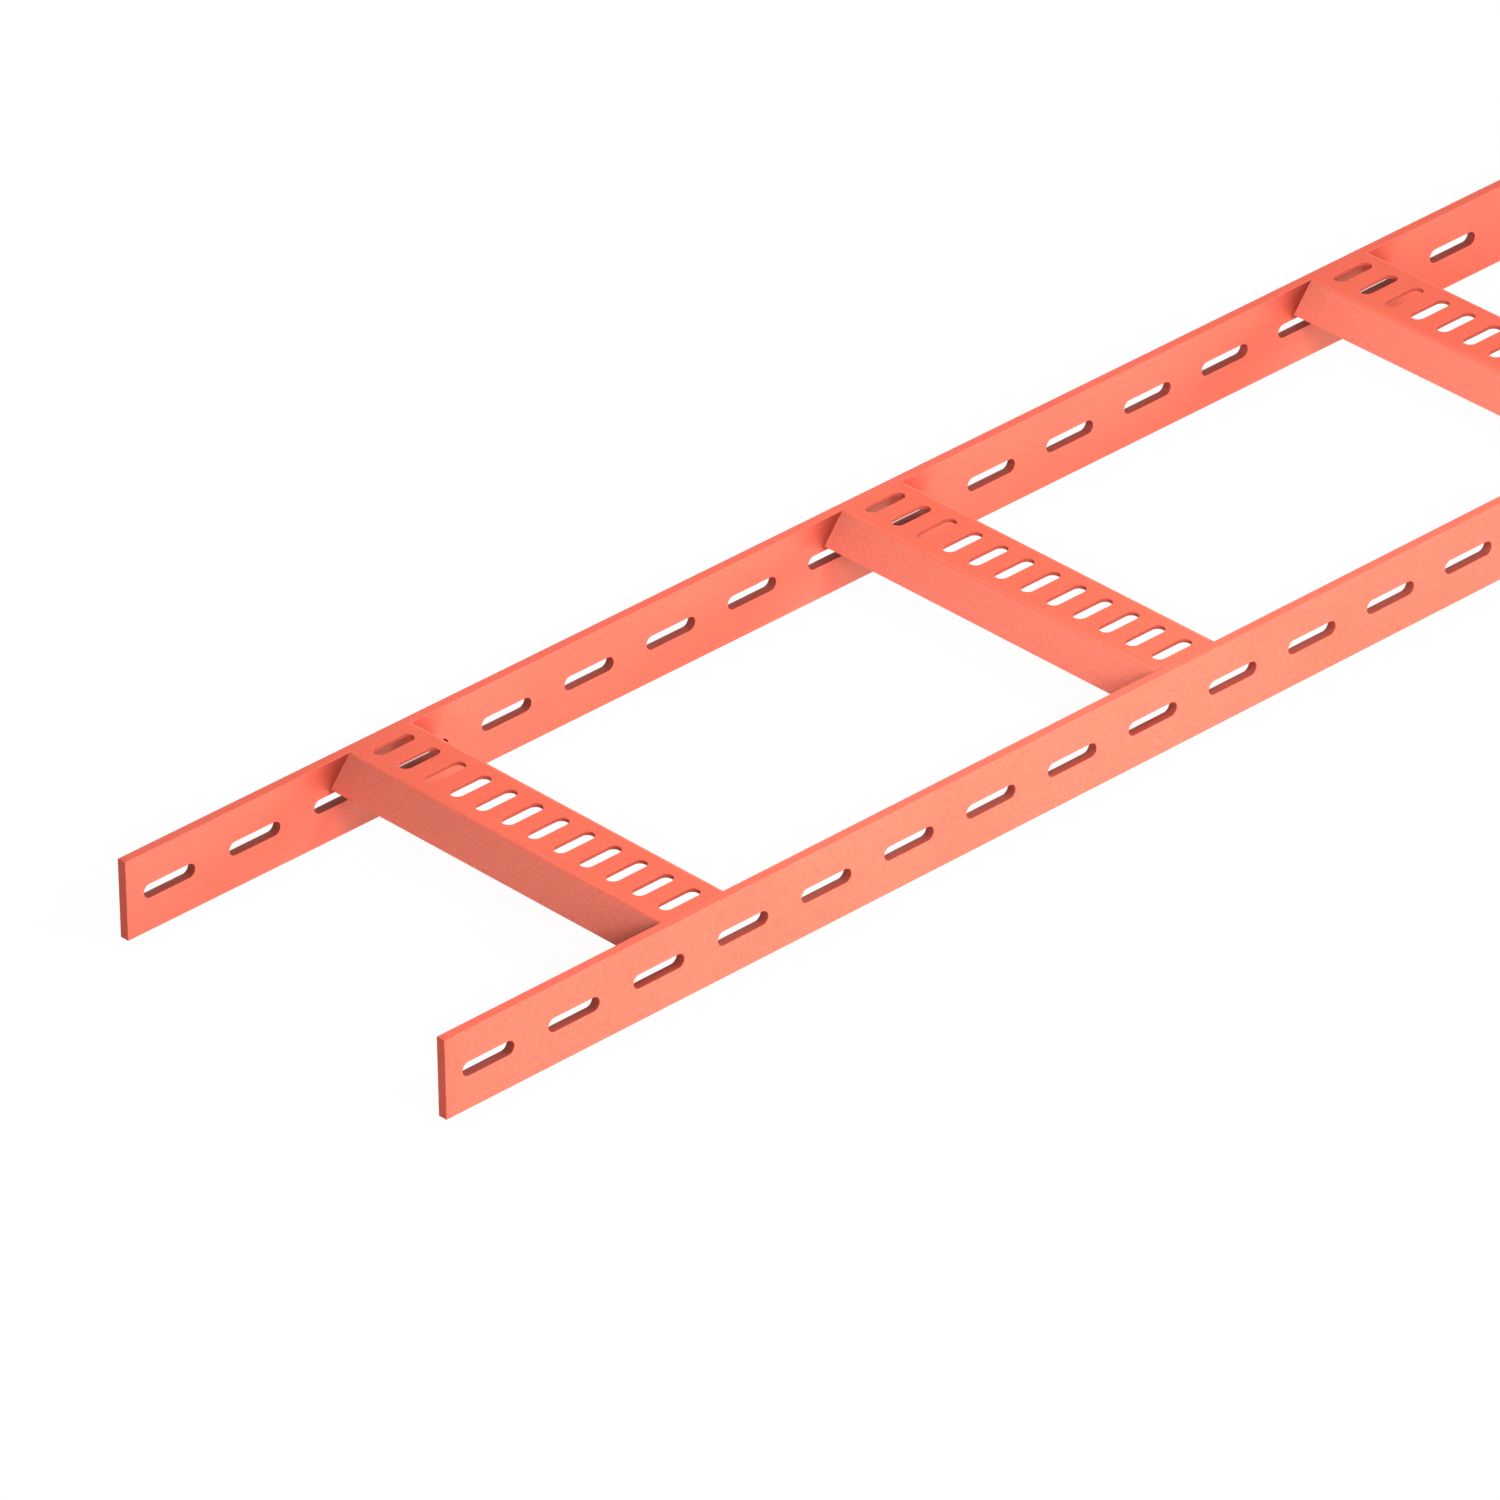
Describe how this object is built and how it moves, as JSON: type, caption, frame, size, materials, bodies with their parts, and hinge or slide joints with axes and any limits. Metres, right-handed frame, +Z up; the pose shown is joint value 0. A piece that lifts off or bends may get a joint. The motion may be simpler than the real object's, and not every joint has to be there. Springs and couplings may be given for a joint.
{
  "type": "cable ladder section",
  "caption": "Straight cable ladder section: slotted flat-bar side rails joined by slotted, folded channel rungs, in coral-red primer.",
  "frame": {"origin": "middle of the underside, on the plane of the rails' lower edges", "axes": "+X along the side rails, +Y across the ladder to its left rail, +Z up, to the side that cables lie on"},
  "size_m": [3, 0.21, 0.04],
  "materials": {
    "rail_primer": "matt coral-red primer, finely grained",
    "rung_primer": "matt coral-red primer, finely grained"
  },
  "bodies": {
    "root": {"side_rail_right": "rail_primer", "side_rail_left": "rail_primer", "rung_01": "rung_primer", "rung_02": "rung_primer", "rung_03": "rung_primer", "rung_04": "rung_primer", "rung_05": "rung_primer", "rung_06": "rung_primer", "rung_07": "rung_primer", "rung_08": "rung_primer", "rung_09": "rung_primer", "rung_10": "rung_primer"}
  },
  "joints": []
}
